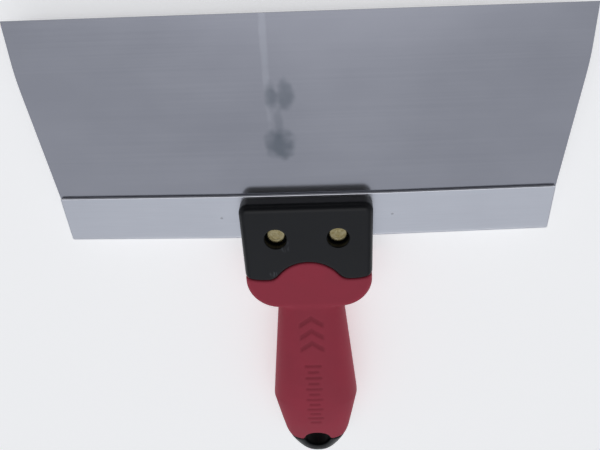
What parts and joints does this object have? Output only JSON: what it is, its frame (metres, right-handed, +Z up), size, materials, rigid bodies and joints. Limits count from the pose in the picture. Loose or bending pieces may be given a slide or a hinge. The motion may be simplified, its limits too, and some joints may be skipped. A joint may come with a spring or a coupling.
{
  "type": "taping knife",
  "caption": "Wide drywall taping knife: thin steel blade in a folded steel backer, riveted into a two-tone plastic handle with a soft grip and a hanging hole.",
  "frame": {"origin": "below the middle of the tool's length and width, level with the underside of the grip, with the knife lying on its back", "axes": "+Y from the hanging hole to the working edge, +X along the working edge, +Z up from the underside of the grip"},
  "size_m": [0.2032, 0.208, 0.026],
  "materials": {
    "blade_steel": "fine brushed, half mirror",
    "backer_steel": "rolled bright, satin",
    "black_plastic": "fine moulded texture, satin",
    "red_rubber": "matte soft-touch",
    "rivet_brass": "dull pressed"
  },
  "bodies": {
    "root": {"blade": "blade_steel", "backer": "backer_steel", "handle_core": "black_plastic", "soft_grip": "red_rubber", "rivet_sleeve_left": "rivet_brass", "rivet_pin_left": "rivet_brass", "rivet_sleeve_right": "rivet_brass", "rivet_pin_right": "rivet_brass"}
  },
  "joints": []
}
